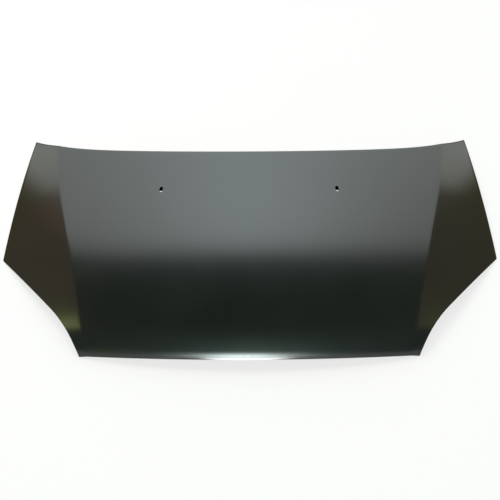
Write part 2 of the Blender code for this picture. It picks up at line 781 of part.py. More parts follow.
def part_origin():
    """Middle of the hemmed skin's box in plan, at the height of its lowest point."""
    edge = outline()
    mitres = inward_mitres(edge, crease_ends())
    rows = np.vstack([surface(edge)] + hem_rows(edge, mitres, hem_profile()[0]))
    low, high = rows.min(axis=0), rows.max(axis=0)
    return np.array(((low[0] + high[0]) / 2, (low[1] + high[1]) / 2, low[2]))


def clear_scene():
    """Remove whatever the opened file holds."""
    for item in list(bpy.data.objects):
        bpy.data.objects.remove(item, do_unlink=True)


clear_scene()
PART_ORIGIN = part_origin()
EDGE = outline()
build_outer_skin(EDGE)
build_inner_frame(EDGE)
build_hinge_mount(1)
build_hinge_mount(-1)
build_striker()
build_mastic()
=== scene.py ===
"""Looks of a black electrocoated steel bonnet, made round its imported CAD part.

The outer skin, the pressed inner frame and the striker's loop are worked out with numpy, the
two sheets over the same styled face as in the CAD part. The skin has a softly rolled feature
line, a folded hem and pierced jet slots. The frame has lands, pads and open windows. Every
length is in metres, +X is across the vehicle, -Y is the front edge and +Z is up.
"""

import json
import math

import bpy
import numpy as np
from mathutils import Matrix


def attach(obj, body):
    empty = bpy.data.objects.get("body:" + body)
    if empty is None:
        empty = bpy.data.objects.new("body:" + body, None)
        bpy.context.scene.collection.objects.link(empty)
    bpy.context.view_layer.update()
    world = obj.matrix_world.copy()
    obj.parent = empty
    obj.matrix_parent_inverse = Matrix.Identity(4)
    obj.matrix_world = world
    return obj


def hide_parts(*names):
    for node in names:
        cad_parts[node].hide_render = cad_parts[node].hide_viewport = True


# The styled face, as the CAD part has it.
FACE_ORIGIN_Y = -0.377557      # the middle of the front edge, in the frame
FACE_ORIGIN_Z = 0.071860
FACE_SLOPE = 0.3055            # rise per metre behind the nose
FACE_SAG = 0.430               # lengthwise crown, per metre
NOSE_DROP = 0.036              # how far the nose curls down
NOSE_LENGTH = 0.024
CROWN_DROP = 0.038             # cross crown at CROWN_X
CROWN_X = 0.560
FLANK_KINK = 0.21              # change of cross slope at the feature line
FLANK_FLARE = 0.60
CREASE_FRONT_X = 0.4620        # the feature line in plan
CREASE_SLOPE_FRONT = 0.197
CREASE_BREAK_Y = 0.520
CREASE_SLOPE_REAR = 0.123
CREASE_ROLL = 0.0032           # softness of the pressed feature line
CREASE_BEND = 0.030            # length over which it changes direction

# Outline in plan, from the middle of the front edge.
LENGTH = 0.6652
BOW_X = 0.640
BOW_FRONT = 0.043
BOW_REAR = 0.044
REAR_SWEEP = 0.0412
REAR_SWEEP_POWER = 8
FRONT_CORNER_X = 0.4895
REAR_CORNER_X = 0.6653
SIDE_CORNER = (0.7347, 0.3384)
SIDE_CORNER_REACH = 0.004
LAMP_BEND = (0.5379, 0.1185)
LAMP_BEND_REACH = 0.061
BEND_STEPS = 40

# Sheet metal, hem and jet slots.
SHEET = 0.0007
HEM_RADIUS = 0.0013
HEM_BULGE = 0.00095            # how far the fold stands out past the face's edge
HEM_RETURN = 0.009
HEM_SLIT = 0.0006              # half the gap between two returns at a corner
HEM_FOLD_STEPS = 8
HEM_RETURN_STEPS = 3
CORNER_LOOK = 0.01             # how far from a corner an end edge's direction is taken
JET_PLACE = (0.2615, 0.5210)
JET_WIDTH = 0.0095
JET_LENGTH = 0.0190
JET_LEAN = math.radians(8.0)
JET_PATCH_HALF = 0.048         # half size of the patch of skin round a slot
JET_ROW_BOW = 0.009            # how much farther back a row lies at a slot than in the middle
JET_LIP = 0.00025
JET_LIP_STEPS = 4
JET_RINGS = 12                 # from the patch's border to the lip
JET_RING_POWER = 1.6
SLOT_END_STEPS = 60

# Inner frame: depths are square to the face, the rest is in plan.
RIM_INSET = 0.0012
RIM_WIDTH = 0.0125
RIM_DEPTH = 0.0010
EDGE_WALL_END = 0.030
EDGE_WALL_DEPTH = 0.012
EDGE_SLOPE_START = 0.018
EDGE_FLOOR_START = 0.074
FLOOR_DEPTH = 0.025
FRAME_SHEET = 0.0006
FRAME_FILLET = 0.002           # how far two slopes of the frame run into each other
LAND_WIDTH = 0.014
LAND_DEPTH = 0.0035
WINDOW_WALL_END = 0.031
WINDOW_ROUND = 0.026
WINDOW_REACH = 0.0315          # how far out the rings round a window go
WINDOW_RINGS = 14
WINDOWS_RIGHT = (
    ((0.040, 0.305), (0.160, 0.305), (0.178, 0.432), (0.040, 0.432)),
    ((0.240, 0.303), (0.350, 0.303), (0.382, 0.432), (0.260, 0.432)),
    ((0.432, 0.303), (0.562, 0.315), (0.592, 0.436), (0.464, 0.436)),
    ((0.130, 0.102), (0.252, 0.106), (0.245, 0.222), (0.112, 0.222)),
    ((0.335, 0.108), (0.440, 0.120), (0.482, 0.220), (0.330, 0.222)),
)
REAR_WINDOW = ((-0.068, 0.528), (0.068, 0.528), (0.068, 0.600), (-0.068, 0.600))
JET_ACCESS = (0.2630, 0.5110, 0.024)    # place and radius
JET_ACCESS_REACH = 0.008
PAD_DEPTH = 0.022
PAD_SLOPE = 0.007
PAD_ROUND = 0.008
HINGE_PAD = (0.520, 0.622, 0.031, 0.047)    # place and half sizes
STRIKER_PAD = (0.0, 0.080, 0.072, 0.033)
BOLT_OFFSET = 0.026
BOLT_HOLE_RADIUS = 0.0055
BOLT_HOLE_REACH = 0.002
HOLE_RINGS = 7                 # round a jet access or a bolt hole
BORDER_SHARES = (0.34, 0.67)   # where two more rings lie, from a block's border in to the others

# Striker loop, from the pad: a rod bent in the pad's fore-and-aft plane.
LOOP_ROD_RADIUS = 0.004
LOOP_HALF_WIDTH = 0.015
LOOP_TOP = 0.0037              # under the pad's upper face
LOOP_DROP = 0.036
LOOP_BEND = 0.009
LOOP_BEND_STEPS = 12
LOOP_LEG_STEPS = 6
LOOP_SIDES = 32

# Faint specks on the left flank where the coat is thin.
SPECKS = ((-0.6005, 0.0959, 0.0665), (-0.6231, 0.0598, 0.0609), (-0.6905, -0.0258, 0.0260))
SPECK_RADIUS = 0.006
SPECK_SHARE = 0.3              # how much bare metal shows in one

# Grid of the skin and of the frame.
ROWS = 112
INNER_COLUMNS = 62             # from the middle to the feature line
OUTER_COLUMNS = 26             # from there to the side
ROW_EASE = (0.30, 1.6)         # linear share of the spacing, and the power of the rest
INNER_EASE = (0.14, 1.5)
OUTER_EASE = (0.20, 1.5)
CORNER_ROWS = 9                # rows at the side corner
CORNER_SPREAD = 1.2            # how far they reach, in reaches of the corner's bend
CORNER_CLEAR = 2.0             # how far the other rows keep off
CREASE_PASSES = 25             # substitutions that settle the feature line on the grid
SHARP_ANGLE = math.radians(35.0)

# The room that the paint mirrors. A direction is given by its height angle, in degrees from the
# rear horizon over the zenith to the front horizon, and by its x. A pair that is named a fade
# is where a change starts and where it ends.
BOX_TOP = 67.5                 # upper edge of the soft box behind the panel
BOX_TOP_SOFT = 3.4
BOX_TOP_DROP = 5.0             # how much lower it lies toward the left
BOX_DROP_FADE = (0.33, 0.45)
BOX_MIDDLE = -0.02
BOX_LEAN = 0.0035              # how much its sides close in for each degree of height
BOX_SIDE_FADE = (0.657, 0.723)
BOX_BOTTOM_FADE = (6.0, 14.0)
BOX_FOOT_MIDDLE = -0.008       # the box's wider foot
BOX_FOOT_TOP_FADE = (35.5, 39.5)
BOX_FOOT_SIDE_FADE = (0.625, 0.665)
BOX_RIM_FADE = (0.45, 0.58)    # where the box's colour turns paler, away from the middle
BOX_HEART = (BOX_MIDDLE, 24.0)    # the box's bright middle: x and sharpness
BOX_DIM = 0.28                 # how dim it is low in the middle
BOX_DIM_TOP_FADE = (15.0, 55.0)
BOX_DIM_SIDE_FADE = (0.25, 0.48)
BOX_CORNER_DIM = 0.11          # how dim it is high on the right
BOX_CORNER_X_FADE = (0.12, 0.34)
BOX_CORNER_FADE = (36.0, 50.0)
HALO = (0.0, 40.0)             # glow above the lamp: x and sharpness
HALO_RISE_FADE = (95.0, 152.0)
HALO_END_FADE = (154.0, 166.0)
CEILING_FADE = (78.0, 125.0)
WALL_START_FADE = (0.30, 0.62)
WALL_END_FADE = (101.0, 114.0)
WALL_CHANGE_FADE = (-0.3, 0.3)
REAR_WALL_FADE = (30.0, 48.0)
FAR_SIDE_FADE = (0.89, 0.96)
HORIZON_FADE = (0.0, 0.10)     # z over which the white surround ends

# Patches of light: the height angle and its fade to each side, then x and its fade.
SIDE_WINDOW = ((99.5, (2.0, 10.0)), (-0.76, (0.03, 0.11)))
FAR_WINDOW = ((98.0, (3.0, 14.0)), (0.76, (0.02, 0.12)))
FAR_WINDOW_SHARE = 0.15
SHELF = ((49.0, (3.0, 10.0)), (-0.64, (0.03, 0.08)))

# Lights low in front: the fade over which they climb to full, then x and its fade. The lamp is
# squared, so that it climbs late.
LAMP = ((156.0, 181.5), (-0.027, (0.035, 0.125)))
WARM_SPOT = ((150.0, 172.0), (-0.345, (0.01, 0.06)))

WHITE = (1.0, 1.0, 1.0)
BLACK = (0.0, 0.0, 0.0)
CEILING_REAR_COLOUR = (0.06, 0.10, 0.08)
CEILING_FRONT_COLOUR = (0.20, 0.26, 0.22)
LEFT_WALL_COLOUR = (0.52, 0.39, 0.23)
RIGHT_WALL_COLOUR = (0.44, 0.39, 0.24)
REAR_WALL_COLOUR = (0.40, 0.28, 0.02)
FAR_SIDE_COLOUR = (0.40, 0.40, 0.38)
SHELF_COLOUR = (0.90, 0.53, 0.35)
BOX_COLOUR = (2.30, 2.38, 2.28)
BOX_RIM_COLOUR = (2.58, 2.64, 2.46)
BOX_HEART_COLOUR = (4.22, 4.75, 4.78)
HALO_COLOUR = (0.55, 0.92, 0.74)
WARM_SPOT_COLOUR = (0.75, 0.85, 0.38)
WINDOW_COLOUR = (3.2, 3.8, 1.4)
LAMP_COLOUR = (37.0, 45.0, 44.0)

# Floor and lamps. The strip lies on the floor at the nose and faces up. Its aim is a hair off
# the vertical, which tells the strip which way is across.
FLOOR_SIDES = 96
FLOOR_RADIUS = 7.0
FLOOR_Z = -0.0002
FLOOR_GLOW = 0.75              # how much of the floor is plain white, whatever falls on it
KEY_PLACE = (-1.2, 1.6, 3.2)
KEY_SIZE = (2.0, 2.0)
KEY_POWER = 60.0
STRIP_PLACE = (-0.015, -0.885, 0.002)
STRIP_AIM = (-0.015, -0.88501, 0.5)
STRIP_SIZE = (0.34, 1.0)
STRIP_POWER = 20.0

# Camera, fitted to the photograph's 500 by 500 frame.
TARGET = (0.00286, -0.0435, 0.0719)
CAMERA_DISTANCE = 4.2
CAMERA_ELEVATION = math.radians(62.13)
CAMERA_TURN = math.radians(1.683)
CAMERA_ROLL = math.radians(-1.7455)
LENS = 103.14
SENSOR = 36.0
FAR_CLIP = 60.0

# Numbers of the colour Mix node's sockets, whose names it uses more than once.
MIX_FACTOR, MIX_FIRST, MIX_SECOND, MIX_RESULT = 0, 6, 7, 2

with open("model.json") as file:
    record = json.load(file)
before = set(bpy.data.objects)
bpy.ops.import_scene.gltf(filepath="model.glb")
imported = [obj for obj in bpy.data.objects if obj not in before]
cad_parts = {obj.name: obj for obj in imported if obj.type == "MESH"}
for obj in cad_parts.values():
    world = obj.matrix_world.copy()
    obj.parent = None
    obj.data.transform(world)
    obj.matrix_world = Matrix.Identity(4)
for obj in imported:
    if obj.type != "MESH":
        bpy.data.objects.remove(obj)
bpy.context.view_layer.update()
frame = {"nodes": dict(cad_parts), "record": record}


# The styled face

def soft_ramp(distance, softness):
    """Zero before zero and the distance after it, with the corner between them rolled.

    Half the sum of the distance d and the root of d squared plus softness squared.
    """
    return (distance + np.sqrt(distance ** 2 + softness ** 2)) / 2


def crease_x(y):
    """Distance of the feature line from the middle: a straight line that bends at the break."""
    past_break = soft_ramp(y - CREASE_BREAK_Y, CREASE_BEND)
    lost = (CREASE_SLOPE_FRONT - CREASE_SLOPE_REAR) * past_break
    return CREASE_FRONT_X + CREASE_SLOPE_FRONT * y - lost


def face_height(x, y):
    """Height of the face: a parabola along y, less a nose that dies out exponentially, less a
    parabola across x, less a slope and a parabola outside the feature line."""
    bow = (x / BOW_X) ** 2
    along = (y - BOW_FRONT * bow) / (1 + (BOW_REAR - BOW_FRONT) * bow / LENGTH)
    profile = FACE_SLOPE * along - FACE_SAG * along ** 2
    nose = NOSE_DROP * np.exp(-along / NOSE_LENGTH)
    crown = CROWN_DROP * (x / CROWN_X) ** 2
    outside = soft_ramp(np.abs(x) - crease_x(y), CREASE_ROLL)
    return profile - nose - crown - FLANK_KINK * outside - FLANK_FLARE / 2 * outside ** 2


def face_slopes(x, y, step=1e-5):
    """Slopes of the face along x and along y, from central differences."""
    along_x = (face_height(x + step, y) - face_height(x - step, y)) / (2 * step)
    along_y = (face_height(x, y + step) - face_height(x, y - step)) / (2 * step)
    return along_x, along_y


def under_face(x, y, depth):
    """Points under the face: the face's point less its unit normal times the depth."""
    along_x, along_y = face_slopes(x, y)
    normal = np.stack((-along_x, -along_y, np.ones_like(along_x)), axis=-1)
    normal /= np.linalg.norm(normal, axis=-1, keepdims=True)
    point = np.stack((x, y + FACE_ORIGIN_Y, face_height(x, y) + FACE_ORIGIN_Z), axis=-1)
    return point - normal * np.broadcast_to(depth, x.shape)[..., None]


# Outline

def front_y(x):
    """Front edge: a parabola across x."""
    return BOW_FRONT * (x / BOW_X) ** 2


def rear_y(x):
    """Rear edge: a parabola across x, with a sweep that grows near the corner."""
    sweep = REAR_SWEEP * np.abs(x / REAR_CORNER_X) ** REAR_SWEEP_POWER
    return LENGTH + BOW_REAR * (x / BOW_X) ** 2 + sweep


def bent_corner(before, corner, after, reach):
    """A quadratic curve that takes the place of a corner, from reach before it to reach after it."""
    before, corner, after = (np.array(p, float) for p in (before, corner, after))
    start = corner + (before - corner) * reach / np.linalg.norm(before - corner)
    end = corner + (after - corner) * reach / np.linalg.norm(after - corner)
    t = np.linspace(0, 1, BEND_STEPS)[:, None]
    return (1 - t) ** 2 * start + 2 * t * (1 - t) * corner + t ** 2 * end


def side_path():
    """The right-hand side from the front corner to the rear corner, straight between its bends."""
    front = (FRONT_CORNER_X, front_y(FRONT_CORNER_X))
    rear = (REAR_CORNER_X, rear_y(REAR_CORNER_X))
    return np.vstack((front, bent_corner(front, LAMP_BEND, SIDE_CORNER, LAMP_BEND_REACH),
                      bent_corner(LAMP_BEND, SIDE_CORNER, rear, SIDE_CORNER_REACH), rear))


def eased(share, linear, power):
    """Shares from 0 to 1 that start close together: a part of them linear, the rest to a power."""
    return linear * share + (1 - linear) * share ** power


def side_rows(path):
    """Depths of the grid's rows at the side: close together at the nose and at the side corner."""
    share = np.linspace(0, 1, ROWS)
    rows = path[0, 1] + (path[-1, 1] - path[0, 1]) * eased(share, *ROW_EASE)
    rows = rows[np.abs(rows - SIDE_CORNER[1]) > CORNER_CLEAR * SIDE_CORNER_REACH]
    corner = np.linspace(-CORNER_SPREAD, CORNER_SPREAD, CORNER_ROWS)
    return np.sort(np.append(rows, SIDE_CORNER[1] + SIDE_CORNER_REACH * corner))


def row_y(across, side_y, path):
    """Depth in plan over the grid: the side's depth, plus what the front and the rear edge
    depart from their corners, each weighed by how near the row is to that edge."""
    front_corner, rear_corner = path[0], path[-1]
    weight = (side_y - front_corner[1]) / (rear_corner[1] - front_corner[1])
    front = front_y(across * front_corner[0]) - front_corner[1]
    rear = rear_y(across * rear_corner[0]) - rear_corner[1]
    return side_y + (1 - weight) * front + weight * rear


def skin_plan():
    """Plan coordinates of the skin's grid, with a column on the feature line and close to it.

    x is the feature line's x times an eased share inside it, and an eased step on to the side
    outside it. The feature line's x on each row is found by repeated substitution.
    """
    path = side_path()
    side_y = side_rows(path)[:, None]
    side_x = np.interp(side_y, path[:, 1], path[:, 0])
    crease = np.full_like(side_x, CREASE_FRONT_X)
    for _ in range(CREASE_PASSES):
        crease = crease_x(row_y(crease / side_x, side_y, path))
    inner = crease * (1 - eased(np.linspace(1, 0, INNER_COLUMNS + 1), *INNER_EASE))
    outer = crease + (side_x - crease) * eased(np.linspace(0, 1, OUTER_COLUMNS + 1), *OUTER_EASE)[1:]
    half = np.hstack((inner, outer))
    x = np.hstack((-half[:, :0:-1], half))
    return x, row_y(x / side_x, side_y, path)


# Meshes

class Net:
    """Points and quads of one mesh, gathered grid by grid."""

    def __init__(self):
        self.points = []
        self.quads = []
        self.count = 0

    def add(self, points):
        """Takes a grid of points and returns the grid of their numbers."""
        shape = points.shape[:-1]
        size = int(np.prod(shape))
        numbers = np.arange(self.count, self.count + size).reshape(shape)
        self.points.append(points.reshape(-1, 3))
        self.count += size
        return numbers

    def skin(self, numbers, closed=False, flip=False, keep=None):
        """Quads between neighbours of a grid of point numbers; keep says which of them stay."""
        if closed:
            numbers = np.hstack((numbers, numbers[:, :1]))
        corners = (numbers[:-1, :-1], numbers[:-1, 1:], numbers[1:, 1:], numbers[1:, :-1])
        quads = np.stack(corners, axis=-1)
        quads = quads.reshape(-1, 4) if keep is None else quads[keep]
        self.quads.append(quads[:, ::-1] if flip else quads)

    def cap(self, ring, flip=False):
        """Closes a flat ring of point numbers with a ladder of quads across it."""
        half = len(ring) // 2
        self.skin(np.column_stack((ring[:half], ring[:half - 1:-1])), flip=flip)

    def piece(self, name, material):
        """A smooth-shaded object of all that was gathered, which rides on the panel."""
        mesh = bpy.data.meshes.new(name)
        mesh.from_pydata(np.vstack(self.points).tolist(), [], np.vstack(self.quads).tolist())
        mesh.materials.append(material)
        mesh.shade_smooth()
        mesh.set_sharp_from_angle(angle=SHARP_ANGLE)
        piece = bpy.data.objects.new(name, mesh)
        bpy.context.scene.collection.objects.link(piece)
        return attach(piece, "root")


def around(grid):
    """The border of a grid, anticlockwise from its first corner."""
    return np.concatenate((grid[0, :-1], grid[:-1, -1], grid[-1, :0:-1], grid[:0:-1, 0]))


def every_quad(grid):
    """A mark that is true for every quad of a grid of plan points."""
    return np.ones((grid.shape[0] - 1, grid.shape[1] - 1), bool)


def cut_out(keep, block):
    """Takes the quads of a block of rows and columns out of those that stay."""
    rows, columns = block
    keep[rows.start:rows.stop - 1, columns.start:columns.stop - 1] = False


def inward_mitres(loop):
    """For each point of an anticlockwise loop, the plan step that is one unit in from both sides:
    the sum of the sides' unit normals over one plus their product."""
    along = np.roll(loop, -1, axis=0) - loop
    along /= np.linalg.norm(along, axis=1)[:, None]
    after = np.column_stack((-along[:, 1], along[:, 0]))
    before = np.roll(after, 1, axis=0)
    return (before + after) / (1 + np.sum(before * after, axis=1))[:, None]


# The outer skin

def hem_returns(loop):
    """Width of the hem's return along the edge, cut back at the corners.

    At a distance t from a corner the return may reach t times the tangent of half the
    corner's angle, less half a slit, so that two returns never meet.
    """
    path = side_path()
    front, rear = FRONT_CORNER_X - CORNER_LOOK, REAR_CORNER_X - CORNER_LOOK
    stops = ((front, front_y(front)), path[0], LAMP_BEND, SIDE_CORNER, path[-1], (rear, rear_y(rear)))
    width = np.full(len(loop), HEM_RETURN)
    # The front, side and rear corner, each with its neighbours; the lamp bend needs no cut.
    for first in (0, 2, 3):
        last, corner, after = (np.array(stop) for stop in stops[first:first + 3])
        to_last, to_next = last - corner, after - corner
        cosine = np.dot(to_last, to_next) / np.linalg.norm(to_last) / np.linalg.norm(to_next)
        for side in (1, -1):
            reach = np.linalg.norm(loop - corner * (side, 1), axis=1)
            width = np.minimum(width, reach * math.tan(math.acos(cosine) / 2) - HEM_SLIT)
    return np.maximum(width, HEM_SLIT)


def hem_points(loop):
    """The hem as a profile carried round the edge.

    The profile is a half circle out of the face, the return under it, the cut edge and the
    same way back a sheet's thickness inside. A step outward of one unit moves a point along
    its mitre, shortened by the face's slope there; the depth is measured square to the face.
    """
    fold = np.linspace(0, math.pi, HEM_FOLD_STEPS + 1)
    back = fold[::-1]
    inner = HEM_RADIUS - SHEET
    zeros = np.zeros(HEM_RETURN_STEPS)
    steps = np.linspace(0, 1, HEM_RETURN_STEPS + 1)[1:]
    bulge = np.concatenate((HEM_BULGE * np.sin(fold[1:]), zeros, zeros, inner * np.sin(back[:-1])))
    inset = np.concatenate((np.zeros(HEM_FOLD_STEPS), steps, steps[::-1], np.zeros(HEM_FOLD_STEPS)))
    depth = np.concatenate((HEM_RADIUS * (1 - np.cos(fold[1:])), zeros + 2 * HEM_RADIUS,
                            zeros + 2 * HEM_RADIUS - SHEET, HEM_RADIUS - inner * np.cos(back[:-1])))
    mitres = inward_mitres(loop)
    along_x, along_y = face_slopes(loop[:, 0], loop[:, 1])
    slope = (along_x * mitres[:, 0] + along_y * mitres[:, 1]) / np.linalg.norm(mitres, axis=1)
    inward = (inset[:, None] * hem_returns(loop) - bulge[:, None]) / np.sqrt(1 + slope ** 2)
    plan = loop + inward[..., None] * mitres
    return under_face(plan[..., 0], plan[..., 1], depth[:, None])


def slot_outline(share, side):
    """A point of a jet slot's outline for each share of its length, anticlockwise from its +X side.

    The outline is two half circles joined by straight sides, turned to lean toward the middle.
    """
    radius = JET_WIDTH / 2
    turn = np.linspace(0, math.pi, SLOT_END_STEPS)
    cap = np.column_stack((radius * np.cos(turn), radius * np.sin(turn) + JET_LENGTH / 2 - radius))
    loop = np.vstack(((radius, 0.0), cap, -cap, (radius, 0.0)))
    length = np.append(0, np.cumsum(np.linalg.norm(np.diff(loop, axis=0), axis=1)))
    local = np.column_stack([np.interp(share * length[-1], length, loop[:, i]) for i in range(2)])
    lean = side * JET_LEAN
    turned = np.column_stack((local[:, 0] * math.cos(lean) - local[:, 1] * math.sin(lean),
                              local[:, 0] * math.sin(lean) + local[:, 1] * math.cos(lean)))
    return turned + (side * JET_PLACE[0], JET_PLACE[1])


def jet_points(border, side):
    """The skin round a jet slot, as rings from a patch's border in to the slot and back.

    Each ring's points lie a share of the way from the border to the slot's outline, and the
    shares draw together toward the slot. The rings run in over the top, round a lip, down
    through the sheet and out again below.
    """
    place = np.array((side * JET_PLACE[0], JET_PLACE[1]))
    bearing = np.arctan2(border[:, 1] - place[1], border[:, 0] - place[0])
    outline = slot_outline((bearing / (2 * math.pi) - side * JET_LEAN / (2 * math.pi)) % 1.0, side)
    outward = -inward_mitres(outline)
    top = 1 - np.linspace(1, 0, JET_RINGS)[1:-1] ** JET_RING_POWER
    lip = np.linspace(0, math.pi / 2, JET_LIP_STEPS)
    inner = np.concatenate((JET_LIP * (1 - np.sin(lip)), JET_LIP * (1 - np.cos(lip))))
    depth = np.concatenate((JET_LIP * (1 - np.cos(lip)), SHEET - JET_LIP * (1 - np.sin(lip))))
    rings = [border + (outline + outward * JET_LIP - border) * share for share in top]
    rings += [outline + outward * step for step in inner]
    rings += [border + (outline + outward * JET_LIP - border) * share for share in top[::-1]]
    rings = np.array(rings)
    depths = np.concatenate((np.zeros(len(top)), depth, np.full(len(top), SHEET)))
    return under_face(rings[..., 0], rings[..., 1], depths[:, None])


def skin_block(x, y, place, half):
    """The first and last row and column of a block of the grid round a place."""
    row = np.argmin(np.abs(y[:, x.shape[1] // 2] - place[1] + JET_ROW_BOW))
    column = np.argmin(np.abs(x[row] - place[0]))
    rows = np.flatnonzero(np.abs(y[:, column] - place[1]) < half)
    columns = np.flatnonzero(np.abs(x[row] - place[0]) < half)
    return slice(rows[0], rows[-1] + 1), slice(columns[0], columns[-1] + 1)


def build_outer_skin(material):
    """The skin: an upper and a lower face over one grid, the hem and two pierced patches."""
    x, y = skin_plan()
    plan = np.stack((x, y), axis=-1)
    net = Net()
    top, bottom = net.add(under_face(x, y, 0.0)), net.add(under_face(x, y, SHEET))
    keep = every_quad(plan)
    for side in (1, -1):
        block = skin_block(x, y, (side * JET_PLACE[0], JET_PLACE[1]), JET_PATCH_HALF)
        cut_out(keep, block)
        rings = net.add(jet_points(around(plan[block]), side))
        net.skin(np.vstack((around(top[block]), rings, around(bottom[block]))), closed=True)
    net.skin(top, keep=keep)
    net.skin(bottom, keep=keep, flip=True)
    hem = net.add(hem_points(around(plan)))
    net.skin(np.vstack((around(top), hem, around(bottom))), closed=True, flip=True)
    return net.piece("skin", material)


# The inner frame

def stepped(value, low, high):
    """0 below low, 1 above high and 3t^2 - 2t^3 of the share t between them."""
    share = np.clip((value - low) / (high - low), 0, 1)
    return share * share * (3 - 2 * share)


def nearest_on(loop, points):
    """For each point, the nearest point of a closed loop of straight sides."""
    best = np.repeat(loop[:1], len(points), axis=0)
    reach = np.linalg.norm(points - best, axis=1)
    for start, end in zip(loop, np.roll(loop, -1, axis=0)):
        way = end - start
        share = np.clip((points - start) @ way / max(way @ way, 1e-12), 0, 1)
        spot = start + share[:, None] * way
        distance = np.linalg.norm(points - spot, axis=1)
        nearer = distance < reach
        best[nearer], reach[nearer] = spot[nearer], distance[nearer]
    return best, reach


class Opening:
    """A hole in the frame: a core polygon, or a single point, grown by a radius all round.

    A number of rings run in to its edge from a reach outside it.
    """

    def __init__(self, core, radius, reach, rings):
        self.core = np.array(core, float)
        self.radius = radius
        self.reach = reach
        self.rings = rings

    def distance(self, points):
        """How far points lie outside the opening's edge; less than zero means inside it."""
        step = np.roll(self.core, -1, axis=0) - self.core
        within = np.ones(len(points), bool)
        for start, way in zip(self.core, step):
            within &= way[0] * (points[:, 1] - start[1]) - way[1] * (points[:, 0] - start[0]) > 0
        reach = nearest_on(self.core, points)[1]
        return np.where(within, -self.radius, reach - self.radius)

    def ring(self, border, offset):
        """The edge grown by an offset, with its points straight in from the border's."""
        near, reach = nearest_on(self.core, border)
        return near + (border - near) * ((self.radius + offset) / reach)[:, None]


def window_core(corners):
    """Where the centres of a window's corner rounds lie."""
    corners = np.array(corners, float)
    return corners + inward_mitres(corners) * WINDOW_ROUND


def mirrored(points):
    """The same points on the other side, in an order that keeps them anticlockwise."""
    return np.array(points, float)[::-1] * (-1, 1)


def frame_windows():
    """All the windows that have lands round them."""
    corners = [side for loop in WINDOWS_RIGHT for side in (loop, mirrored(loop))] + [REAR_WINDOW]
    return [Opening(window_core(loop), WINDOW_ROUND, WINDOW_REACH, WINDOW_RINGS) for loop in corners]


def frame_holes(hinge_pads):
    """The jet access holes and the two bolt holes of each hinge pad."""
    holes = []
    for side in (1, -1):
        place = (side * JET_ACCESS[0], JET_ACCESS[1])
        holes.append(Opening((place,), JET_ACCESS[2], JET_ACCESS_REACH, HOLE_RINGS))
    for pad in hinge_pads:
        for end in (1, -1):
            place = pad.place + end * BOLT_OFFSET * pad.along[:2]
            holes.append(Opening((place,), BOLT_HOLE_RADIUS, BOLT_HOLE_REACH, HOLE_RINGS))
    return holes


class Pad:
    """A flat in the frame, parallel to the face over its middle."""

    def __init__(self, x, y, half_across, half_along):
        self.place = np.array((x, y))
        self.half = (half_across, half_along)
        slopes = face_slopes(np.array(x), np.array(y))
        self.normal = np.array((-slopes[0], -slopes[1], 1.0))
        self.normal /= np.linalg.norm(self.normal)
        self.origin = under_face(np.array(x), np.array(y), PAD_DEPTH)
        self.across = np.cross((0.0, 1.0, 0.0), self.normal)
        self.across /= np.linalg.norm(self.across)
        self.along = np.cross(self.normal, self.across)

    def local(self, plan):
        """Distances across and along the pad of the face's points."""
        away = under_face(plan[..., 0], plan[..., 1], 0.0) - self.origin
        return away @ self.across, away @ self.along

    def share(self, plan):
        """1 on the pad, falling to 0 over its slope."""
        across, along = (np.abs(value) for value in self.local(plan))
        outside = np.hypot(np.maximum(across - self.half[0] + PAD_ROUND, 0),
                           np.maximum(along - self.half[1] + PAD_ROUND, 0)) - PAD_ROUND
        return 1 - np.clip(outside / PAD_SLOPE, 0, 1)

    def depth(self, plan):
        """Depth at which the face's normals meet the pad."""
        x, y = plan[..., 0], plan[..., 1]
        above = under_face(x, y, 0.0)
        normal = (above - under_face(x, y, PAD_DEPTH)) / PAD_DEPTH
        return (above - self.origin) @ self.normal / (normal @ self.normal)

    def lines(self, axis, count):
        """Places of grid lines: one at the foot of each slope and the rest over the flat."""
        half = self.half[axis]
        foot = half + PAD_SLOPE
        return np.concatenate(((-foot,), np.linspace(-half, half, count - 2), (foot,)))

    def point(self, across, along, lift):
        """Points from local distances, lifted along the pad's normal."""
        local = np.stack(np.broadcast_arrays(across, along, lift), axis=-1)
        return self.origin + local @ np.array((self.across, self.along, self.normal))


def frame_depth(plan, edge, windows, pads):
    """Depth of the frame's upper side: the rim, a wall and a slope in from the edge, or the land
    and the wall round a window, whichever is less, run into each other; then the pads."""
    points = plan.reshape(-1, 2)
    inset = nearest_on(edge, points)[1]
    depth = RIM_DEPTH + (EDGE_WALL_DEPTH - RIM_DEPTH) * stepped(inset, RIM_WIDTH, EDGE_WALL_END)
    depth += (FLOOR_DEPTH - EDGE_WALL_DEPTH) * stepped(inset, EDGE_SLOPE_START, EDGE_FLOOR_START)
    outside = np.min([window.distance(points) for window in windows], axis=0)
    wall = LAND_DEPTH + (FLOOR_DEPTH - LAND_DEPTH) * stepped(outside, LAND_WIDTH, WINDOW_WALL_END)
    share = np.clip(0.5 + (wall - depth) / (2 * FRAME_FILLET), 0, 1)
    depth = wall + (depth - wall) * share - FRAME_FILLET * share * (1 - share)
    for pad in pads:
        share = pad.share(points)
        depth += (pad.depth(points) - depth) * share
    return depth.reshape(plan.shape[:-1])


def block_round(near):
    """The block of the grid that holds all marked points, with one more line on each side."""
    rows, columns = np.flatnonzero(near.any(axis=1)), np.flatnonzero(near.any(axis=0))
    return slice(rows[0] - 1, rows[-1] + 2), slice(columns[0] - 1, columns[-1] + 2)


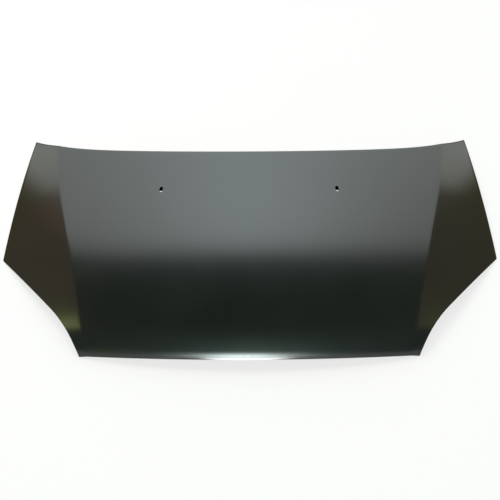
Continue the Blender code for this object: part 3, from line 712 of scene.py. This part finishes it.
def square_up(plan, pad):
    """Moves the grid's inner points round a pad on to lines across and along the pad."""
    across, along = pad.local(plan)
    near = (np.abs(across) < pad.half[0] + PAD_SLOPE) & (np.abs(along) < pad.half[1] + PAD_SLOPE)
    rows, columns = block_round(near)
    rows, columns = slice(rows.start + 1, rows.stop - 1), slice(columns.start + 1, columns.stop - 1)
    step_across = pad.lines(0, columns.stop - columns.start)[:, None] * pad.across[:2]
    step_along = pad.lines(1, rows.stop - rows.start)[:, None, None] * pad.along[:2]
    plan[rows, columns] = pad.place + step_across + step_along


def opening_rings(border, opening):
    """Plan rings from a block's border in to the edge of an opening."""
    outer = opening.ring(border, opening.reach)
    rings = [border + (outer - border) * share for share in BORDER_SHARES]
    shares = np.linspace(1, 0, opening.rings)
    return np.array(rings + [opening.ring(border, opening.reach * share) for share in shares])


def frame_plan():
    """Plan points of the frame, which is the skin's grid with its border moved in along the
    edge's mitres, and the edge itself."""
    plan = np.stack(skin_plan(), axis=-1)
    edge = around(plan)
    inset = edge + inward_mitres(edge) * RIM_INSET
    last, side = plan.shape[0] - 1, plan.shape[1] - 1
    plan[0, :], plan[:, -1] = inset[:side + 1], inset[side:side + last + 1]
    plan[-1, ::-1] = inset[side + last:2 * side + last + 1]
    plan[::-1, 0] = np.vstack((inset[2 * side + last:], inset[:1]))
    return plan, edge


def frame_sides(plan, depth):
    """Points of the frame's upper and lower side over plan points."""
    x, y = plan[..., 0], plan[..., 1]
    return under_face(x, y, depth), under_face(x, y, depth + FRAME_SHEET)


def build_inner_frame(material):
    """The frame: a sheet over the skin's grid, pressed by frame_depth and cut by its openings."""
    plan, edge = frame_plan()
    windows = frame_windows()
    hinge_pads = [Pad(sign * HINGE_PAD[0], *HINGE_PAD[1:]) for sign in (1, -1)]
    pads = hinge_pads + [Pad(*STRIKER_PAD)]
    for pad in pads:
        square_up(plan, pad)
    net = Net()
    upper, lower = frame_sides(plan, frame_depth(plan, edge, windows, pads))
    top, bottom = net.add(upper), net.add(lower)
    keep = every_quad(plan)
    for opening in windows + frame_holes(hinge_pads):
        near = opening.distance(plan.reshape(-1, 2)).reshape(plan.shape[:2]) < opening.reach
        block = block_round(near)
        cut_out(keep, block)
        rings = opening_rings(around(plan[block]), opening)
        upper, lower = frame_sides(rings, frame_depth(rings, edge, windows, pads))
        numbers = net.add(np.concatenate((upper, lower[::-1])))
        net.skin(np.vstack((around(top[block]), numbers, around(bottom[block]))), closed=True)
    net.skin(top, keep=keep)
    net.skin(bottom, keep=keep, flip=True)
    net.skin(np.vstack((around(top), around(bottom))), closed=True, flip=True)
    return net.piece("frame", material)


def build_striker_loop(material):
    """The striker: a circle carried square to a path of two legs, two quarter bends and the bar."""
    pad = Pad(*STRIKER_PAD)
    bend = np.linspace(0, math.pi / 2, LOOP_BEND_STEPS + 1)
    reach, low = LOOP_HALF_WIDTH - LOOP_BEND, LOOP_DROP - LOOP_BEND
    corner = np.column_stack((-reach - LOOP_BEND * np.cos(bend), -low - LOOP_BEND * np.sin(bend)))
    drop = np.linspace(0, low, LOOP_LEG_STEPS + 1)[:-1]
    leg = np.column_stack((np.full(LOOP_LEG_STEPS, -LOOP_HALF_WIDTH), -drop))
    half = np.vstack((leg, corner))
    path = np.vstack((half, half[::-1] * (-1, 1)))
    along = np.gradient(path, axis=0)
    along /= np.linalg.norm(along, axis=1)[:, None]
    turn = np.linspace(0, 2 * math.pi, LOOP_SIDES, endpoint=False)
    side = LOOP_ROD_RADIUS * np.sin(turn)
    spread = path[:, None] + np.stack((along[:, 1:] * side, -along[:, :1] * side), axis=-1)
    rod = pad.point(LOOP_ROD_RADIUS * np.cos(turn), spread[..., 0], spread[..., 1] - LOOP_TOP)
    net = Net()
    numbers = net.add(rod)
    net.skin(numbers, closed=True)
    net.cap(numbers[0])
    net.cap(numbers[-1], flip=True)
    return net.piece("striker_rod", material)


# Shading

class Signal:
    """A node's output socket; arithmetic on it adds Math nodes."""

    def __init__(self, board, socket):
        self.board = board
        self.socket = socket

    def math(self, operation, *values):
        """The result of a Math node on this signal and other values."""
        inputs = dict(enumerate((self,) + values))
        return self.board.node("ShaderNodeMath", {"operation": operation}, inputs)

    def __add__(self, other):
        return self.math("ADD", other)

    def __radd__(self, other):
        return self.math("ADD", other)

    def __sub__(self, other):
        return self.math("SUBTRACT", other)

    def __rsub__(self, other):
        return (self * -1.0).math("ADD", other)

    def __mul__(self, other):
        return self.math("MULTIPLY", other)

    def __rmul__(self, other):
        return self.math("MULTIPLY", other)

    def __abs__(self):
        return self.math("ABSOLUTE")

    def rise(self, low, high):
        """From 0 at low to 1 at high, with soft ends."""
        inputs = {"Value": self, "From Min": low, "From Max": high}
        return self.board.node("ShaderNodeMapRange", {"interpolation_type": "SMOOTHSTEP"}, inputs)

    def between(self, low, high):
        """A signal of 0 to 1 stretched from low to high."""
        return self * (high - low) + low


class Board:
    """The node tree of a material or of the world."""

    def __init__(self, owner):
        owner.use_nodes = True
        self.tree = owner.node_tree
        self.tree.nodes.clear()

    def node(self, kind, settings=None, inputs=None, output=0):
        """Adds a node: its settings first, then the values or links of its sockets."""
        node = self.tree.nodes.new(kind)
        for name, value in (settings or {}).items():
            setattr(node, name, value)
        for name, value in (inputs or {}).items():
            if isinstance(value, Signal):
                self.tree.links.new(value.socket, node.inputs[name])
            else:
                node.inputs[name].default_value = value
        return Signal(self, node.outputs[output]) if len(node.outputs) else None

    def place(self):
        """The point on the object, in metres."""
        return self.node("ShaderNodeTexCoord", output="Object")

    def noise(self, place, scale, detail=2.0, roughness=0.5):
        """Smooth noise from 0 to 1; scale is how many times it varies in a metre."""
        inputs = {"Vector": place, "Scale": scale, "Detail": detail, "Roughness": roughness}
        return self.node("ShaderNodeTexNoise", None, inputs)

    def mix(self, factor, first, second):
        """A colour between two, each a signal or its red, green and blue."""
        first, second = (part if isinstance(part, Signal) else (*part, 1.0) for part in (first, second))
        inputs = {MIX_FACTOR: factor, MIX_FIRST: first, MIX_SECOND: second}
        return self.node("ShaderNodeMix", {"data_type": "RGBA"}, inputs, MIX_RESULT)

    def bump(self, height, depth, under=None):
        """A normal from a height signal, where one unit of height is depth metres."""
        inputs = {"Height": height, "Distance": depth, "Strength": 1.0}
        if under:
            inputs["Normal"] = under
        return self.node("ShaderNodeBump", None, inputs)


def finish(name, recipe):
    """A material whose shader takes the values and signals that a recipe makes on its board."""
    material = bpy.data.materials.new(name)
    board = Board(material)
    shader = board.node("ShaderNodeBsdfPrincipled", None, recipe(board))
    board.node("ShaderNodeOutputMaterial", None, {"Surface": shader})
    return material


def ecoat(board, light, dark, roughness, spread):
    """Electrocoat: a cloudy black, with a fine orange peel, slow waves in the sheet and dust nibs."""
    place = board.place()
    cloud = board.noise(place, scale=7.0, detail=4.0, roughness=0.6)
    peel = board.noise(place, scale=520.0, detail=2.0, roughness=0.5)
    waves = board.noise(place, scale=9.0, detail=1.0, roughness=0.4)
    cells = board.node("ShaderNodeTexVoronoi", {"feature": "F1"}, {"Vector": place, "Scale": 9.0})
    nibs = 1.0 - cells.rise(0.0, 0.016)
    normal = board.bump(waves, depth=0.00005)
    normal = board.bump(peel, depth=0.000006, under=normal)
    normal = board.bump(nibs, depth=0.00002, under=normal)
    return {
        "Base Color": board.mix(cloud.rise(0.35, 0.70), dark, light),
        "Roughness": cloud.between(roughness - spread, roughness + spread) + nibs * 0.2,
        "Normal": normal,
    }


def skin_ecoat(board):
    """The skin's semi-gloss black electrocoat, with a few thin specks."""
    light, dark = (0.0085, 0.0098, 0.0090), (0.0062, 0.0074, 0.0068)
    coat = ecoat(board, light, dark, roughness=0.20, spread=0.02)
    place = board.place()
    marks = []
    for speck in SPECKS:
        ends = {0: place, 1: speck}
        away = board.node("ShaderNodeVectorMath", {"operation": "DISTANCE"}, ends, "Value")
        marks.append(1.0 - away.rise(0.0, SPECK_RADIUS))
    coat["Metallic"] = sum(marks[1:], marks[0]) * SPECK_SHARE
    return coat


def frame_ecoat(board):
    """The frame's satin black electrocoat, a little thinner and greyer than the skin's."""
    light, dark = (0.026, 0.027, 0.027), (0.018, 0.019, 0.019)
    return ecoat(board, light, dark, roughness=0.40, spread=0.05)


def zinc_plate(board):
    """Bright zinc plate: blotches of passivation and fine scratches along the part."""
    place = board.place()
    blotch = board.noise(place, scale=160.0, detail=4.0, roughness=0.6)
    stretch = {"Vector": place, "Scale": (2600.0, 120.0, 2600.0)}
    scratches = board.noise(board.node("ShaderNodeMapping", None, stretch), scale=1.0, roughness=0.6)
    dull, bright = (0.44, 0.43, 0.39), (0.62, 0.61, 0.57)
    return {
        "Base Color": board.mix(blotch.rise(0.35, 0.65), dull, bright),
        "Metallic": 1.0,
        "Roughness": blotch.between(0.30, 0.48) + scratches * 0.08,
        "Normal": board.bump(scratches, depth=0.00001),
    }


def mastic_rubber(board):
    """Soft sealing mastic: matt, with a pitted surface."""
    pits = board.noise(board.place(), scale=900.0, detail=3.0, roughness=0.6)
    dark, dusty = (0.028, 0.028, 0.031), (0.050, 0.049, 0.050)
    return {
        "Base Color": board.mix(pits, dark, dusty),
        "Roughness": pits.between(0.72, 0.92),
        "Normal": board.bump(pits, depth=0.00025),
    }


# Studio

def bell(x, middle, sharpness):
    """A bell of height 1: e to the power of minus the sharpness times the distance squared."""
    away = x - middle
    return (away * away * -sharpness).math("EXPONENT")


def patch(angle, x, height, side):
    """A patch of light: full at its middle, fading out both along the angle and along x."""
    (level, tall), (middle, wide) = height, side
    return (1.0 - abs(angle - level).rise(*tall)) * (1.0 - abs(x - middle).rise(*wide))


def front_light(angle, x, climb, side):
    """A light that climbs toward the front horizon and fades out along x."""
    middle, wide = side
    return angle.rise(*climb) * (1.0 - abs(x - middle).rise(*wide))


def soft_box(angle, x):
    """Where the soft box lies: the greater of a tall part, whose sides close in with height, and
    a wider foot, less what fades at the bottom."""
    top = BOX_TOP - (x * -1.0).rise(*BOX_DROP_FADE) * BOX_TOP_DROP
    side = abs(x - BOX_MIDDLE) + angle * BOX_LEAN
    tall = (1.0 - (angle - top).rise(-BOX_TOP_SOFT, BOX_TOP_SOFT)) * (1.0 - side.rise(*BOX_SIDE_FADE))
    foot_side = abs(x - BOX_FOOT_MIDDLE)
    foot = (1.0 - angle.rise(*BOX_FOOT_TOP_FADE)) * (1.0 - foot_side.rise(*BOX_FOOT_SIDE_FADE))
    return tall.math("MAXIMUM", foot) * angle.rise(*BOX_BOTTOM_FADE)


def box_colour(board, angle, x):
    """The soft box's light: paler at its sides, brightest down its middle, dim in two places."""
    aside = abs(x)
    low = (1.0 - angle.rise(*BOX_DIM_TOP_FADE)) * (1.0 - aside.rise(*BOX_DIM_SIDE_FADE))
    corner = x.rise(*BOX_CORNER_X_FADE) * angle.rise(*BOX_CORNER_FADE)
    colour = board.mix(aside.rise(*BOX_RIM_FADE), BOX_COLOUR, BOX_RIM_COLOUR)
    colour = board.mix(bell(x, *BOX_HEART), colour, BOX_HEART_COLOUR)
    return board.mix(low * BOX_DIM + corner * BOX_CORNER_DIM, colour, BLACK)


def build_world():
    """The room round the panel: dark ceiling, warm walls, a soft box high behind the panel,
    windows and a lamp low in front. To the eye and, near the horizon, in reflections it is white.

    Each light is a product of soft steps of the direction's height angle and its x.
    """
    world = bpy.data.worlds.new("studio")
    bpy.context.scene.world = world
    board = Board(world)
    way = board.node("ShaderNodeTexCoord", output="Generated")
    x, y, z = (board.node("ShaderNodeSeparateXYZ", None, {"Vector": way}, axis) for axis in "XYZ")
    rays = {kind: board.node("ShaderNodeLightPath", output=f"Is {kind} Ray")
            for kind in ("Camera", "Glossy", "Transmission")}
    angle = z.math("ARCTAN2", y) * (180 / math.pi)
    aside = abs(x)
    ceiling = board.mix(angle.rise(*CEILING_FADE), CEILING_REAR_COLOUR, CEILING_FRONT_COLOUR)
    walls = board.mix(x.rise(*WALL_CHANGE_FADE), LEFT_WALL_COLOUR, RIGHT_WALL_COLOUR)
    halo = angle.rise(*HALO_RISE_FADE) * (1.0 - angle.rise(*HALO_END_FADE)) * bell(x, *HALO)
    lamp = front_light(angle, x, *LAMP)
    surround = (rays["Glossy"] + rays["Transmission"]) * (1.0 - z.rise(*HORIZON_FADE))
    layers = (
        (aside.rise(*WALL_START_FADE) * (1.0 - angle.rise(*WALL_END_FADE)), walls),
        (1.0 - angle.rise(*REAR_WALL_FADE), REAR_WALL_COLOUR),
        (patch(angle, x, *SHELF), SHELF_COLOUR),
        (aside.rise(*FAR_SIDE_FADE), FAR_SIDE_COLOUR),
        (soft_box(angle, x), box_colour(board, angle, x)),
        (halo, HALO_COLOUR),
        (front_light(angle, x, *WARM_SPOT), WARM_SPOT_COLOUR),
        (patch(angle, x, *FAR_WINDOW) * FAR_WINDOW_SHARE, WINDOW_COLOUR),
        (patch(angle, x, *SIDE_WINDOW), WINDOW_COLOUR),
        (surround, WHITE),
        (lamp * lamp, LAMP_COLOUR),
        (rays["Camera"], WHITE),
    )
    colour = ceiling
    for cover, layer in layers:
        colour = board.mix(cover, colour, layer)
    background = board.node("ShaderNodeBackground", None, {"Color": colour})
    board.node("ShaderNodeOutputWorld", None, {"Surface": background})


def build_floor():
    """A round pale floor that stays white to the eye outside the panel's shadow."""
    turn = np.arange(FLOOR_SIDES) * 2 * math.pi / FLOOR_SIDES
    height = np.full(FLOOR_SIDES, FLOOR_Z)
    rim = np.column_stack((FLOOR_RADIUS * np.cos(turn), FLOOR_RADIUS * np.sin(turn), height))
    mesh = bpy.data.meshes.new("floor")
    mesh.from_pydata(rim.tolist(), [], [list(range(FLOOR_SIDES))])
    floor = bpy.data.objects.new("floor", mesh)
    bpy.context.scene.collection.objects.link(floor)
    material = bpy.data.materials.new("floor_paper")
    board = Board(material)
    grain = board.noise(board.place(), scale=3.0)
    shade = board.mix(grain, (0.84, 0.84, 0.84), (0.86, 0.86, 0.86))
    paper = board.node("ShaderNodeBsdfDiffuse", None, {"Color": shade})
    glow = board.node("ShaderNodeEmission", None, {"Color": (*WHITE, 1.0), "Strength": 1.0})
    surface = board.node("ShaderNodeMixShader", None, {0: FLOOR_GLOW, 1: paper, 2: glow})
    board.node("ShaderNodeOutputMaterial", None, {"Surface": surface})
    mesh.materials.append(material)


def build_lamp(name, place, aim, size, power, glossy):
    """An oval area lamp, size wide and deep, that faces aim and that the camera doesn't see."""
    light = bpy.data.lights.new(name, "AREA")
    light.shape = "ELLIPSE"
    light.size, light.size_y = size
    light.energy = power
    lamp = bpy.data.objects.new(name, light)
    bpy.context.scene.collection.objects.link(lamp)
    back = np.array(place, float) - np.array(aim, float)
    lamp.matrix_world = placed(np.array(place, float), back / np.linalg.norm(back), 0.0)
    lamp.visible_camera = False
    lamp.visible_glossy = glossy


def placed(place, back, roll):
    """A matrix whose -Z looks against back, with its X level and then rolled about back."""
    level = np.cross((0.0, 0.0, 1.0), back)
    level /= np.linalg.norm(level)
    up = np.cross(back, level)
    right = level * math.cos(roll) + up * math.sin(roll)
    above = up * math.cos(roll) - level * math.sin(roll)
    columns = np.column_stack((right, above, back, place))
    return Matrix(np.vstack((columns, (0.0, 0.0, 0.0, 1.0))).tolist())


def build_camera():
    """The camera at the photograph's place: above the front edge, with a long lens."""
    data = bpy.data.cameras.new("camera")
    data.lens = LENS
    data.sensor_width = SENSOR
    data.clip_end = FAR_CLIP
    camera = bpy.data.objects.new("camera", data)
    bpy.context.scene.collection.objects.link(camera)
    level = math.cos(CAMERA_ELEVATION)
    back = np.array((math.sin(CAMERA_TURN) * level, -math.cos(CAMERA_TURN) * level,
                     math.sin(CAMERA_ELEVATION)))
    camera.matrix_world = placed(np.array(TARGET) + CAMERA_DISTANCE * back, back, CAMERA_ROLL)
    bpy.context.scene.camera = camera


def dress_nodes(materials):
    """Gives each CAD node that stays the finish of its slot in the record."""
    for entry in frame["record"]["subparts"]:
        node = frame["nodes"][entry["node"]]
        node.data.materials.clear()
        node.data.materials.append(materials[entry["material_slot"]])


materials = {
    "skin_ecoat": finish("skin_ecoat", skin_ecoat),
    "frame_ecoat": finish("frame_ecoat", frame_ecoat),
    "zinc": finish("zinc", zinc_plate),
    "mastic": finish("mastic", mastic_rubber),
}
dress_nodes(materials)
skin = build_outer_skin(materials["skin_ecoat"])
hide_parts("outer_skin")
pressing = build_inner_frame(materials["frame_ecoat"])
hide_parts("inner_frame")
rod = build_striker_loop(materials["zinc"])
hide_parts("striker_loop")

build_world()
build_floor()
build_lamp("key", KEY_PLACE, TARGET, KEY_SIZE, KEY_POWER, glossy=False)
build_lamp("strip", STRIP_PLACE, STRIP_AIM, STRIP_SIZE, STRIP_POWER, glossy=True)
build_camera()
bpy.context.scene.view_settings.view_transform = "Standard"
